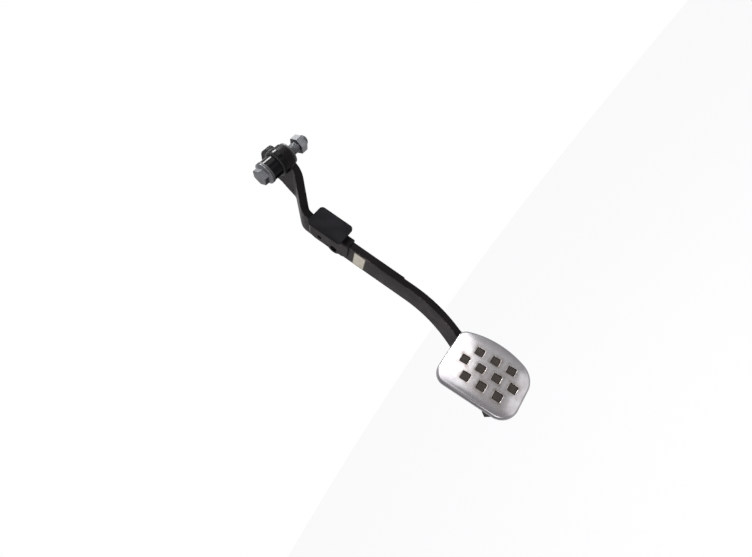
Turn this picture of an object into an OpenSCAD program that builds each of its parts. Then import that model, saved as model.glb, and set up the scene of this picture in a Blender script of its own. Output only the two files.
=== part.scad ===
// Hanging brake pedal: a flat steel arm that swings on a bolted bush, with a metal-faced foot pad.
// Frame: origin on the pivot axis at the middle of the arm's head, +Z up,
// +Y along the pivot axis, +X towards the driver. All sizes are in millimetres.

/* [Arm] */
// Thickness of the arm from its head down to the step
arm_t = 8.5; // [6:0.5:11]
// Thickness of the arm below the step
arm_low_t = 7.5; // [4:0.5:8.5]
// Width of the arm, front edge to rear edge, beside the bracket
arm_w = 26; // [20:1:34]
// Extra width that the arm gains on its way down to the pad
arm_taper = 2; // [0:0.5:5]
// How far the arm's straight front edge lies ahead of the pivot axis
arm_setback = 27; // [22:1:36]
// Lateral offset of the joggle between the head and the straight stretch
joggle_offset = 21.7; // [12:0.5:30]
// Slant of the joggle away from vertical
joggle_angle = 41; // [35:1:55]
// Bend radius in the joggle, at the middle of the thickness
joggle_r = 11; // [9:1:16]
// Depth below the pivot axis at which the joggle has ended
joggle_end = 46; // [44:1:60]
// Depth below the pivot axis of the step in the arm's thickness
step_drop = 161; // [135:1:175]
// Depth below the pivot axis where the sideways sweep to the pad starts
sweep_start = 174; // [160:1:190]
// Radius of the sideways sweep
sweep_r = 160; // [140:5:220]
// Radius of the bend in the front edge where the straight stretch starts
shoulder_r = 25; // [15:1:35]
// Radius of the hollow in the rear edge under the head
rear_r = 93.5; // [85:0.5:105]

/* [Head] */
// Wall that the arm's head keeps round the pivot tube
head_wall = 1.5; // [1:0.25:3]
// Radius of the lobe above and ahead of the pivot
lobe_r = 15; // [12:0.5:18]
// How far the lobe's centre lies ahead of the pivot axis
lobe_setback = 17; // [14:1:20]
// How far the lobe's centre lies above the pivot axis
lobe_rise = 11; // [8:1:14]
// Height of the head's front corner above the pivot axis
nose_rise = 18.5; // [15:0.5:20]
// Length of the slanted corner between the head's front and its top
nose_run = 9; // [6:0.5:12]
// Share of the shorter edge that is rounded off at each end of the slanted corner
nose_round = 0.4; // [0.15:0.05:0.45]
// Lean of the front edge between the head and the straight stretch
shoulder_lean = 38.6; // [30:1:45]

/* [Pivot] */
// Wall of the pivot tube
tube_wall = 2; // [1.5:0.25:3]
// Reach of the tube on the left of the arm's middle
tube_left = 23; // [18:1:30]
// Reach of the tube on the right of the arm's middle
tube_right = 5.4; // [5.2:0.2:12]
// Thickness of each bush flange
bush_flange_t = 2; // [1:0.25:3]
// Wall of each bush barrel
bush_wall = 1.5; // [1:0.25:2]
// Gap between the two bush barrels inside the tube
bush_gap = 4.4; // [1:0.2:12]
// How far each bush flange stands out past the tube
bush_lip = 0.5; // [0.2:0.1:1]
// Wall of the collar on the left of the arm
collar_wall = 2.5; // [1.5:0.25:4]
// Reach of the collar past the arm's left face
collar_len = 5.8; // [4:0.2:8]
// Leg of the weld bead round the tube on the right of the arm
hub_bead = 0.9; // [0.5:0.1:0.9]
// Wall of the inner sleeve
sleeve_wall = 1.3; // [1:0.1:2]
// How far the inner sleeve stands past each bush flange
sleeve_proud = 0.15; // [0.1:0.05:0.3]

/* [Fasteners] */
// Thread diameter of the pivot bolt
bolt_d = 10; // [8:1:11]
// Width across flats of the bolt head
head_af = 14; // [13:1:16]
// Width across flats of the nut
nut_af = 15; // [14:1:18]
// Diameter of the flange on the bolt head
flange_d = 21; // [19:0.5:24]
// Thickness of the flange at its rim
flange_t = 1.8; // [1.2:0.2:2.5]
// Height of the hexagon on the bolt head
head_h = 6; // [4:0.5:8]
// Height of the nut
nut_h = 8; // [6:0.5:10]
// Open stretch of the bolt that the mounting cheeks take up
cheek_gap = 11.5; // [6:0.5:14]
// Reach of the bolt past the nut
bolt_end = 5; // [3:0.5:10]

/* [Bracket] */
// Sheet thickness of the switch bracket
sheet_t = 2; // [1.5:0.25:3]
// Depth below the pivot axis of the bracket's upper end
bracket_top = 52.5; // [52:0.5:54]
// Length of the bracket along the arm
bracket_len = 46; // [42:0.5:50]
// Depth of the bracket's wings behind the arm's front edge
wing_depth = 23; // [20:0.5:25]
// Radius of the wings' upper rear corners
wing_curve = 7; // [4:0.5:9]
// Height of the slanted lower rear corners of the wings
wing_corner = 6; // [3:0.5:8]
// Diameter of the pushrod pin hole
pin_hole_d = 8; // [6:0.5:9]
// Wall of the ear round the pushrod pin hole
ear_wall = 3.3; // [2.5:0.1:4]
// Depth of the pushrod pin hole below the pivot axis
pin_drop = 82; // [78:1:88]
// Distance of the pushrod pin hole behind the arm's front edge
pin_setback = 19.5; // [17:0.5:20]
// Diameter of the locating hole in the left wing
locator_d = 5; // [3:0.5:5.5]
// Distance of the locating hole below the bracket's upper end
locator_drop = 11.5; // [7:0.5:12]
// Distance of the locating hole behind the arm's front edge
locator_setback = 15.5; // [10:0.5:18]
// Length of the striker plate along the arm
striker_l = 39; // [32:1:40]
// Width of the striker plate
striker_w = 24; // [18:1:28]
// Thickness of the striker plate
striker_t = 3.5; // [2.5:0.5:5]
// Corner radius of the striker plate
striker_r = 4; // [2:0.5:6]
// Depth below the pivot axis of the striker plate's middle
striker_drop = 72.5; // [72:0.5:76]
// Length of the neck that carries the striker plate ahead of the bracket
neck_l = 5; // [3:0.5:7]
// Width of the neck of the striker plate
neck_w = 8; // [6:0.5:8.5]
// How far the neck stops short of the striker plate's ends
neck_inset = 4; // [2:0.5:8]
// Leg of the weld bead along the upper edge of the bracket's left wing
bracket_bead = 1.8; // [0.8:0.1:1.9]

/* [Label] */
// Length of the label along the arm
label_l = 13.5; // [8:0.5:20]
// Distance of the label below the bracket's lower end
label_gap = 7; // [3:0.5:12]
// Distance of the label from the arm's front and rear edges
label_margin = 1.2; // [0.5:0.1:3]
// Thickness of the label
label_t = 0.3; // [0.2:0.1:0.5]

/* [Pad] */
// Length of the pad down its long axis
pad_l = 75.5; // [68:0.5:82]
// Width of the pad from its straight edge to the top of its curved edge
pad_w = 58.3; // [53:0.1:64]
// Radius of the pad's curved right edge
edge_r = 78; // [70:1:110]
// How far the curved edge has fallen back at the right corners
edge_bow = 1.6; // [1:0.1:3]
// Radius of the pad's upper left corner
upper_left_r = 12; // [9:0.5:15]
// Radius of the pad's lower left corner
lower_left_r = 16; // [9:0.5:19]
// Radius of the pad's upper right corner
upper_right_r = 9.5; // [9:0.5:13]
// Radius of the pad's lower right corner
lower_right_r = 20.5; // [15:0.5:22]
// Lean of the pad's lower end towards the driver
pad_tilt = 17; // [14:0.5:22]
// Turn of the pad in its own plane
pad_roll = -3; // [-8:0.5:0]
// Position of the pad's face towards the driver from the pivot axis
pad_reach = -4.3; // [-8:0.1:2]
// How far the pad's middle lies to the left of the arm's middle line
pad_offset = 7.8; // [4:0.2:11]
// Depth of the pad's middle below the pivot axis
pad_drop = 267.6; // [260:0.1:280]
// How far the edge of the pad's face lies below its middle
crown_drop = 2; // [1:0.2:2.6]
// Thickness of the metal cover
cover_t = 1.4; // [1:0.1:2]
// Depth of the cover's rim below the middle of its face
rim_depth = 8; // [6:0.5:9]
// Radius of the roll between the cover's face and its rim
rim_roll = 3; // [2:0.5:4]
// Side of each square hole
hole_w = 7.6; // [6:0.2:9]
// Corner radius of each square hole
hole_r = 1; // [0.5:0.1:1.5]
// Spacing of the holes along the pad
hole_pitch = 15.4; // [13:0.1:16]
// Spacing of the rows of holes across the pad
row_pitch = 13.4; // [12:0.1:14.5]
// Thickness of the rubber under the cover
rubber_t = 7; // [5.5:0.5:9]
// How far the rubber studs stay below the cover's face
stud_recess = 0.6; // [0.3:0.1:1.2]
// Thickness of the foot plate
foot_t = 3.5; // [2.5:0.5:5]
// Thickness of the rubber lip behind the foot plate
lip_t = 2; // [1.5:0.25:3]
// Width of the rubber lip behind the foot plate
lip_w = 4; // [3:0.5:6]
// Length of the toe's front edge, which backs the foot plate
toe_l = 65.2; // [58:0.2:67]
// Width of the toe along its level lower end
toe_tip_w = 28.8; // [22:0.2:30]
// Size of the slanted corner between the toe's lower end and its rear edge
toe_corner = 3; // [2:0.5:8]
// Leg of the weld beads between the toe and the foot plate
toe_bead = 2; // [1:0.25:3]

/* [Clearances] */
// Radial running clearance between the bushes and the inner sleeve
running_gap = 0.05; // [0.03:0.01:0.08]
// Radial clearance of a piece that is pressed or welded in place
seat_gap = 0.02; // [0.01:0.01:0.04]
// Radial clearance of the bolt in the inner sleeve
bolt_gap = 0.15; // [0.1:0.05:0.3]
// Clearance round each rubber stud and under the cover
rubber_gap = 0.3; // [0.1:0.1:0.5]

/* [Hidden] */
$fn = 64;

// Reach of a cut past the solid it cuts
over = 1;
// Half of the run that every extruded view gets, well past the part
half_run = pad_drop / 2;

// Pivot stack, along Y
sleeve_r = bolt_d / 2 + bolt_gap + sleeve_wall;
bush_r = sleeve_r + running_gap + bush_wall;
tube_r = bush_r + seat_gap + tube_wall;
tube_d = 2 * tube_r;
collar_d = tube_d + 2 * collar_wall;
head_r = tube_r + head_wall;
sleeve_left = -tube_left - bush_flange_t - sleeve_proud;
sleeve_right = tube_right + bush_flange_t + sleeve_proud;
nut_face = sleeve_right + cheek_gap;
bolt_tip = nut_face + nut_h + bolt_end;
barrel_len = (tube_left + tube_right - bush_gap) / 2;

// Arm, front view: the straight stretch lies joggle_offset to the left of the head
straight_y = -joggle_offset;
joggle_run = (joggle_offset - 2 * joggle_r * (1 - cos(joggle_angle))) / sin(joggle_angle);
joggle_height = 2 * joggle_r * sin(joggle_angle) + joggle_run * cos(joggle_angle);
joggle_top = -joggle_end + joggle_height;
left_face = straight_y - arm_t / 2;
right_face = straight_y + arm_t / 2;

// Pad stack, measured back from the middle of the cover's face
pad_side = straight_y - sweep_r * (1 - cos(asin((pad_drop - sweep_start) / sweep_r))) - pad_offset;
pad_mid = [pad_reach, pad_side, -pad_drop];
pad_normal = [cos(pad_tilt), sin(pad_tilt)];
foot_face = cover_t + rubber_t;
foot_back = foot_face + foot_t;
lip_back = foot_back + lip_t;

// Arm, side view: where the straight front edge turns into the toe
toe_line = [pad_reach, -pad_drop] - foot_back * pad_normal;
toe_top = toe_line[1] + (toe_line[0] + arm_setback) / tan(pad_tilt);
toe_w = arm_w + arm_taper;
toe_dir = [sin(pad_tilt), -cos(pad_tilt)];
toe_start = [-arm_setback, toe_top];
toe_tip = toe_start + toe_l * toe_dir;

// Points on an arc round c, from angle a0 to angle a1
function arc(c, r, a0, a1, n = 10) =
    [for (i = [0:n]) let (a = a0 + (a1 - a0) * i / n) c + r * [cos(a), sin(a)]];

// Side view of the arm, as [x, z] points: head, lobe, rear edge, toe and front edge
lobe_mid = [-lobe_setback, lobe_rise];
lobe_top = lobe_rise + lobe_r;
shoulder_mid = [-arm_setback + shoulder_r, -joggle_end - 9];
rear_x = -arm_setback - arm_w;
rear_mid = [rear_x + rear_r, shoulder_mid[1]];
rear_top_angle = 180 - asin((lobe_rise - 9 - shoulder_mid[1]) / rear_r);
head_foot_angle = -94;
nose_low = [0, nose_rise];
nose_top = [-nose_run, lobe_top - 0.7];

// A round corner at c between the points before and after it, over a share of the shorter edge
function round_corner(before, c, after, share, n = 6) = let (
        run = share * min(norm(before - c), norm(after - c)),
        from = c + run * (before - c) / norm(before - c),
        to = c + run * (after - c) / norm(after - c))
    [for (i = [0:n]) let (t = i / n) (1 - t) * (1 - t) * from + 2 * t * (1 - t) * c + t * t * to];

function side_outline() = concat(
    arc([0, 0], head_r, head_foot_angle, 88, 16),
    round_corner([0, head_r], nose_low, nose_top, nose_round),
    round_corner(nose_low, nose_top, lobe_mid + lobe_r * [cos(100), sin(100)], nose_round),
    arc(lobe_mid, lobe_r, 100, 190, 12),
    arc(rear_mid, rear_r, rear_top_angle, 180, 10),
    [toe_start - toe_w * pad_normal],
    [toe_tip - [toe_tip_w + toe_corner, -toe_corner]],
    [toe_tip - [toe_tip_w, 0]],
    [toe_tip],
    [toe_start],
    arc(shoulder_mid, shoulder_r, 180, 180 - shoulder_lean, 8));

// Front view of the arm's middle line, as [y, z, slant] from top to bottom
function front_path() = concat(
    [[0, lobe_rise + lobe_r + over, 0]],
    [for (i = [0:8]) let (a = joggle_angle * i / 8)
        [-joggle_r * (1 - cos(a)), joggle_top - joggle_r * sin(a), a]],
    [for (i = [0:8]) let (a = joggle_angle * (1 - i / 8))
        [straight_y + joggle_r * (1 - cos(a)), -joggle_end + joggle_r * sin(a), a]],
    [for (i = [0:20]) let (a = 52 * i / 20)
        [straight_y - sweep_r * (1 - cos(a)), -sweep_start - sweep_r * sin(a), a]]);

// The middle line moved sideways by d, square to itself
function beside(path, d) = [for (p = path) [p[0] + d * cos(p[2]), p[1] - d * sin(p[2])]];
function backwards(points) = [for (i = [len(points) - 1:-1:0]) points[i]];
function strip(path, left, right) = concat(beside(path, left), backwards(beside(path, right)));

// An [x, z] outline run along Y from y0 to y1
module side_run(y0, y1) {
    translate([0, y1, 0]) rotate([90, 0, 0]) linear_extrude(y1 - y0) children();
}

// A [y, z] outline run along X over the whole arm
module front_run() {
    rotate([90, 0, 90]) translate([0, 0, -half_run]) linear_extrude(2 * half_run) children();
}

// A round bar along Y from y0 to y1
module bar(d, y0, y1) {
    translate([0, y1, 0]) rotate([90, 0, 0]) cylinder(d = d, h = y1 - y0);
}

// A ring along Y from y0 to y1
module ring(d_out, d_in, y0, y1) {
    difference() {
        bar(d_out, y0, y1);
        bar(d_in, y0 - over, y1 + over);
    }
}

// A fillet bead round a bar of diameter d, its wide side at y and its leg running along dir
module ring_bead(d, leg, y, dir) {
    translate([0, y, 0]) rotate([-90 * dir, 0, 0]) rotate_extrude()
        polygon([[d / 2, 0], [d / 2 + leg, 0], [d / 2 + leg * 0.6, leg * 0.6], [d / 2, leg]]);
}

module arm() {
    color("#2b2a2b") difference() {
        intersection() {
            side_run(-half_run, half_run) polygon(side_outline());
            front_run() polygon(strip(front_path(), -arm_t / 2, arm_t / 2));
        }
        bar(tube_d + 2 * seat_gap, -arm_t, arm_t);
        translate([pin_mid[0], 0, pin_mid[1]])
            bar(pin_hole_d, left_face - over, right_face + over);
        step_cut();
    }
}

// Thins the arm on its right side below the step
module step_cut() {
    intersection() {
        front_run() polygon(strip(front_path(), -arm_t / 2 + arm_low_t, arm_t));
        translate([-half_run, -half_run, -step_drop - 2 * half_run])
            cube([2 * half_run, 2 * half_run, 2 * half_run]);
    }
}

module pivot_tube() {
    color("#1d1d1f") ring(tube_d, tube_d - 2 * tube_wall, -tube_left, tube_right);
}

module hub_collar() {
    color("#1d1d1f")
        ring(collar_d, tube_d + 2 * seat_gap, -arm_t / 2 - collar_len, -arm_t / 2);
}

module hub_weld_left() {
    color("#252426") ring_bead(tube_d + 2 * seat_gap, (collar_d - tube_d) / 2,
        -arm_t / 2 - collar_len, -1);
}

module hub_weld_right() {
    color("#252426") ring_bead(tube_d + 2 * seat_gap, hub_bead, arm_t / 2, 1);
}

// A flanged bush whose flange covers the tube's end at y, with its barrel running along dir
module bush(y, dir) {
    flange_y = y - dir * bush_flange_t;
    barrel_y = y + dir * barrel_len;
    inner_d = 2 * (sleeve_r + running_gap);
    ring(tube_d + 2 * bush_lip, inner_d, min(y, flange_y), max(y, flange_y));
    ring(2 * bush_r, inner_d, min(y, barrel_y), max(y, barrel_y));
}

module left_bush() {
    color("#18181a") bush(-tube_left, 1);
}

module right_bush() {
    color("#18181a") bush(tube_right, -1);
}

module inner_sleeve() {
    color("#8c8d90") ring(2 * sleeve_r, bolt_d + 2 * bolt_gap, sleeve_left, sleeve_right);
}

// Hexagon from z = 0 up, its corners rounded off at the top
module hexagon(af, height) {
    corner = af / sqrt(3);
    intersection() {
        cylinder(r = corner, h = height, $fn = 6);
        translate([0, 0, -corner])
            cylinder(r1 = 2 * corner + height, r2 = corner * 0.93, h = height + corner);
    }
}

module pivot_bolt() {
    color("#b9bbbd") union() {
        translate([0, sleeve_left, 0]) rotate([90, 0, 0]) {
            cylinder(d = flange_d, h = flange_t * 0.6);
            translate([0, 0, flange_t * 0.6])
                cylinder(d1 = flange_d, d2 = head_af, h = flange_t);
            hexagon(head_af, flange_t + head_h);
        }
        bar(bolt_d, sleeve_left - flange_t, bolt_tip);
    }
}

module hex_nut() {
    color("#b9bbbd") difference() {
        translate([0, nut_face, 0]) rotate([-90, 0, 0]) hexagon(nut_af, nut_h);
        bar(bolt_d + 2 * seat_gap, nut_face - over, bolt_tip + over);
    }
}

// Switch bracket: a folded saddle over the arm's front edge, with one wing on each face
wing_x = -arm_setback - wing_depth;
web_x = -arm_setback + sheet_t;
bracket_bottom = bracket_top + bracket_len;
pin_mid = [-arm_setback - pin_setback, -pin_drop];
locator_mid = [-arm_setback - locator_setback, -bracket_top - locator_drop];

// Side view of the bracket, with an ear round the pushrod pin
module bracket_outline() {
    polygon(concat(
        [[web_x, -bracket_bottom], [web_x, -bracket_top]],
        arc([wing_x + wing_curve, -bracket_top - wing_curve], wing_curve, 90, 180, 8),
        [[wing_x, -bracket_bottom + wing_corner],
            [wing_x + wing_corner * 0.7, -bracket_bottom]]));
    translate(pin_mid) circle(r = pin_hole_d / 2 + ear_wall);
}

// The folded sheet seen from above, its two bends round on the outside
module saddle_section() {
    out_left = left_face - sheet_t;
    out_right = right_face + sheet_t;
    bend_x = web_x - sheet_t;
    back_x = wing_x - 2 * wing_curve;
    polygon(concat(
        [[back_x, out_left]],
        arc([bend_x, out_left + sheet_t], sheet_t, 270, 360, 8),
        arc([bend_x, out_right - sheet_t], sheet_t, 0, 90, 8),
        [[back_x, out_right], [back_x, right_face], [bend_x, right_face]],
        [[bend_x, left_face], [back_x, left_face]]));
}

module switch_bracket() {
    color("#2b2a2b") difference() {
        intersection() {
            side_run(left_face - sheet_t - over, right_face + sheet_t + over) bracket_outline();
            translate([0, 0, -bracket_bottom - over])
                linear_extrude(bracket_len + 2 * over) saddle_section();
        }
        translate([pin_mid[0], 0, pin_mid[1]])
            bar(pin_hole_d, left_face - sheet_t - over, right_face + sheet_t + over);
        translate([locator_mid[0], 0, locator_mid[1]])
            bar(locator_d, left_face - sheet_t - over, left_face + over);
    }
}

// Weld bead along the upper edge of the left wing, on the arm's face
bead_steps = floor((wing_depth - wing_curve - 1.6) / (1.6 * bracket_bead));
module bracket_weld() {
    color("#3a3838") difference() {
        union() for (i = [0:bead_steps]) let (x = -arm_setback - 3 - i * bracket_bead * 1.6)
            translate([x, left_face, -bracket_top])
                rotate([90, 0, 0]) cylinder(r1 = bracket_bead * 1.2, r2 = bracket_bead * 0.6,
                    h = bracket_bead);
        translate([-half_run, left_face - half_run, -bracket_top + seat_gap - half_run])
            cube([2 * half_run, 2 * half_run, half_run]);
    }
}

// Striker plate, with the neck that it is moulded on
module striker_plate() {
    color("#262428") translate([web_x, straight_y, -striker_drop]) rotate([90, 0, 90]) {
        translate([0, 0, neck_l]) linear_extrude(striker_t)
            rounded_rectangle(striker_w, striker_l, striker_r);
        linear_extrude(neck_l + striker_t)
            rounded_rectangle(neck_w, striker_l - 2 * neck_inset, neck_w / 4);
    }
}

module rounded_rectangle(w, h, r) {
    polygon(concat(
        arc([w / 2 - r, h / 2 - r], r, 0, 90, 8), arc([-w / 2 + r, h / 2 - r], r, 90, 180, 8),
        arc([-w / 2 + r, -h / 2 + r], r, 180, 270, 8), arc([w / 2 - r, -h / 2 + r], r, 270, 360, 8)));
}

module label() {
    label_top = -bracket_bottom - label_gap;
    color("#cfc9b6") translate([-arm_setback - arm_w + label_margin, left_face - label_t,
        label_top - label_l]) cube([arm_w - 2 * label_margin, label_t, label_l]);
}

// Outline of the pad in its own plane, x down the long axis and y to the right, drawn in by
// inset: a straight left edge, four round corners and a curved right edge that touches two
function pad_outline(inset) = let (
        top_left = [upper_left_r - pad_l / 2, upper_left_r - pad_w / 2],
        low_left = [pad_l / 2 - lower_left_r, lower_left_r - pad_w / 2],
        r_top = upper_right_r, r_low = lower_right_r,
        top_right = [r_top - pad_l / 2, pad_w / 2 - r_top - edge_bow],
        low_right = [pad_l / 2 - r_low, pad_w / 2 - r_low - edge_bow],
        span = low_right - top_right, d = norm(span), across = [-span[1], span[0]] / d,
        a = edge_r - r_top, b = edge_r - r_low, along = (a * a - b * b + d * d) / (2 * d),
        edge_mid = top_right + span * along / d - across * sqrt(a * a - along * along),
        from_low = low_right - edge_mid, from_top = top_right - edge_mid,
        low_angle = atan2(from_low[1], from_low[0]), top_angle = atan2(from_top[1], from_top[0]))
    concat(
        arc(top_left, upper_left_r - inset, 180, 270, 8),
        arc(low_left, lower_left_r - inset, 270, 360, 8),
        arc(low_right, r_low - inset, 0, low_angle, 8),
        arc(edge_mid, edge_r - inset, low_angle, top_angle, 10),
        arc(top_right, r_top - inset, top_angle, 180, 8));

// Puts a child drawn in the pad's own plane in its place, +Z out of the pad's face
module on_pad() {
    translate(pad_mid) rotate([0, 90 - pad_tilt, 0]) rotate([0, 0, pad_roll]) children();
}

module pad_slab(inset, z0, z1) {
    translate([0, 0, z0]) linear_extrude(z1 - z0) polygon(pad_outline(inset));
}

// A thin sheet of the pad's outline, drawn in by inset and shrunk to a share of its size
module pad_sheet(inset, z, share = 1) {
    translate([0, 0, z - 0.01]) linear_extrude(0.01) scale(share) polygon(pad_outline(inset));
}

// Crowned block under the pad's face, with a rolled edge, drawn in and sunk by inset, down to z0
module crowned_block(inset, z0) {
    hull() {
        pad_slab(inset, z0, -crown_drop - rim_roll);
        pad_sheet(inset + rim_roll * 0.3, -crown_drop - rim_roll * 0.3 - inset);
        for (share = [1, 0.8, 0.55, 0.25])
            pad_sheet(inset + rim_roll, -crown_drop * share * share - inset, share);
    }
}

// Middles of the square holes: rows of three, four and three, staggered by half a pitch
hole_rows = [[3, 1], [4, 0], [3, -1]];
hole_mid = [2.7, 0.2];

module at_holes() {
    for (row = hole_rows, i = [0:row[0] - 1])
        translate([hole_mid[0] + (i - (row[0] - 1) / 2) * hole_pitch,
            hole_mid[1] + row[1] * row_pitch, 0]) children();
}

module alloy_cover() {
    color("#c4c3c6") on_pad() difference() {
        crowned_block(0, -rim_depth);
        crowned_block(cover_t, -rim_depth - over);
        at_holes() translate([0, 0, -2 * rim_roll]) linear_extrude(3 * rim_roll)
            rounded_rectangle(hole_w, hole_w, hole_r);
    }
}

module rubber_pad() {
    stud = hole_w - 2 * rubber_gap;
    color("#3b332f") on_pad() difference() {
        union() {
            crowned_block(cover_t + rubber_gap, -lip_back);
            intersection() {
                at_holes() translate([0, 0, -foot_face + over]) linear_extrude(foot_face)
                    rounded_rectangle(stud, stud, hole_r);
                crowned_block(stud_recess, -foot_face);
            }
        }
        pad_slab(cover_t + rubber_gap + lip_t, -foot_back, -foot_face);
        pad_slab(cover_t + rubber_gap + lip_t + lip_w, -lip_back - over, -foot_back + over);
        arm_notch();
    }
}

// Room for the arm in the rubber lip behind the foot plate, in the pad's own plane
module arm_notch() {
    intersection() {
        rotate([0, 0, -pad_roll]) rotate([0, pad_tilt - 90, 0]) translate(-pad_mid)
            front_run() polygon(strip(front_path(), -arm_t / 2 - over, arm_t / 2 + over));
        translate([-half_run, -half_run, -lip_back - over])
            cube([2 * half_run, 2 * half_run, lip_t + over]);
    }
}

module foot_plate() {
    color("#2b2a2b") on_pad()
        pad_slab(cover_t + rubber_gap + lip_t, -foot_back, -foot_face);
}

// Weld bead down one side of the toe, against the foot plate's back, between two offsets
module toe_bead_run(inner, outer) {
    color("#3a3838") intersection() {
        on_pad() pad_slab(cover_t + rubber_gap + lip_t + lip_w + over, -foot_back - toe_bead,
            -foot_back);
        front_run() polygon(strip(front_path(), inner, outer));
        side_run(-half_run, half_run) polygon(side_outline_beyond());
    }
}

// The toe's side view, let out ahead of the foot plate so that it bounds the beads lengthways
function side_outline_beyond() = [toe_start, toe_tip - 2 * toe_corner * toe_dir,
    toe_tip - 2 * toe_corner * toe_dir - toe_tip_w * pad_normal, toe_start - toe_w * pad_normal];

module toe_weld_left() {
    toe_bead_run(-arm_t / 2 - toe_bead, -arm_t / 2);
}

module toe_weld_right() {
    toe_bead_run(arm_low_t - arm_t / 2, arm_low_t - arm_t / 2 + toe_bead);
}

arm();
pivot_tube();
hub_collar();
hub_weld_left();
hub_weld_right();
left_bush();
right_bush();
inner_sleeve();
pivot_bolt();
hex_nut();
switch_bracket();
bracket_weld();
striker_plate();
label();
foot_plate();
toe_weld_left();
toe_weld_right();
rubber_pad();
alloy_cover();
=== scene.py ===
import math
import random

import bmesh
import bpy
from mathutils import Matrix, Vector
from mathutils.geometry import delaunay_2d_cdt


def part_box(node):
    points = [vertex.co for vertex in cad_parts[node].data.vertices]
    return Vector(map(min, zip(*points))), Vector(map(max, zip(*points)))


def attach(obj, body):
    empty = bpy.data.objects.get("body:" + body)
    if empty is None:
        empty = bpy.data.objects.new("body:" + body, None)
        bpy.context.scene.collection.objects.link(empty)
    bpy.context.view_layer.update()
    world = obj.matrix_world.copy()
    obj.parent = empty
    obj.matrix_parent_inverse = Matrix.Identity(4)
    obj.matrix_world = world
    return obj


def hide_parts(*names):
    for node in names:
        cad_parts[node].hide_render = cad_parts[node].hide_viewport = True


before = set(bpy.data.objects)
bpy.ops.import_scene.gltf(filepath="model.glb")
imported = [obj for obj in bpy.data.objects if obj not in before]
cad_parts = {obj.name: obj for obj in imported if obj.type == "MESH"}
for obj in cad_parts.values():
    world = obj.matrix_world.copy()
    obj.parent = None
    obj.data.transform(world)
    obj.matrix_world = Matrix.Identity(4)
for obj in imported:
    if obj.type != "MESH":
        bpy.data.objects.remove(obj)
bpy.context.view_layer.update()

# Viewpoint. The pedal is seen from the driver's side, a little from its left and from below,
# close enough that the pad end looks larger than the bolt end. Its place is in metres.
eye = Vector((0.2754, -0.1711, -0.1727))
image_right = Vector((0.21038, 0.53199, -0.82020))
image_up = Vector((0.34992, 0.74241, 0.57129))
into_scene = Vector((-0.91285, 0.40720, 0.02996))
camera = bpy.data.objects.new("viewpoint", bpy.data.cameras.new("viewpoint"))
camera.matrix_world = Matrix((image_right, image_up, -into_scene)).transposed().to_4x4()
camera.matrix_world.translation = eye
camera.data.sensor_width = 36
camera.data.lens = 16.28
camera.data.shift_x = -0.02726
camera.data.shift_y = 0.01862
camera.data.clip_start = 0.01
bpy.context.scene.collection.objects.link(camera)
bpy.context.scene.camera = camera
bpy.context.scene.view_settings.view_transform = "Standard"

# Arm. One flat steel bar, blanked to shape, bent twice sideways under the head and swept over
# to the pad, then dip coated black with its welded pieces. The punch leaves its rims round.
# From here on sizes are in millimetres, and MM turns them to metres.
MM = 0.001
ARM_THICK, TOE_THICK, ARM_RIM = 8.5, 7.5, 0.7
# Steps round a softened rim, the gap in mm under which two points are one, and the angles in
# degrees under which faces are one plane and shading runs on over an edge
RIM_STEPS, SAME_SPOT, SAME_PLANE, CREASE = 3, 0.002, 0.6, 50
# Spacing of the coat's patterns: dust in clouds, chips along the rims, orange peel of the baking
DUST_CLOUD, CHIP, PEEL = 22, 2.2, 1.2


def linear(code):
    """An sRGB hex colour as linear red, green, blue and alpha."""
    parts = [int(code[i:i + 2], 16) / 255 for i in (1, 3, 5)]
    return [p / 12.92 if p <= 0.04045 else ((p + 0.055) / 1.055) ** 2.4 for p in parts] + [1.0]


def new_finish(name, roughness, metallic=0.0, ior=None):
    """An empty material with its shader's plain values set. A metal keeps the default IOR."""
    finish = bpy.data.materials.new(name)
    finish.use_nodes = True
    shader = finish.node_tree.nodes["Principled BSDF"]
    shader.inputs["Roughness"].default_value = roughness
    shader.inputs["Metallic"].default_value = metallic
    if ior:
        shader.inputs["IOR"].default_value = ior
    return finish, finish.node_tree, shader


def add_node(tree, kind, settings=None, links=None):
    """Adds a node, gives it its settings by name or socket number, and links sockets to it.

    On a Mix node of colours, socket 0 is the share, 6 the first colour and 7 the second.
    """
    node = tree.nodes.new(kind)
    for key, value in (settings or {}).items():
        if isinstance(key, str) and hasattr(node, key):
            setattr(node, key, value)
        else:
            node.inputs[key].default_value = value
    for key, source in (links or {}).items():
        tree.links.new(source, node.inputs[key])
    return node


def per_mm(size):
    """Scale of a pattern whose features are that many millimetres apart."""
    return 1 / (size * MM)


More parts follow.
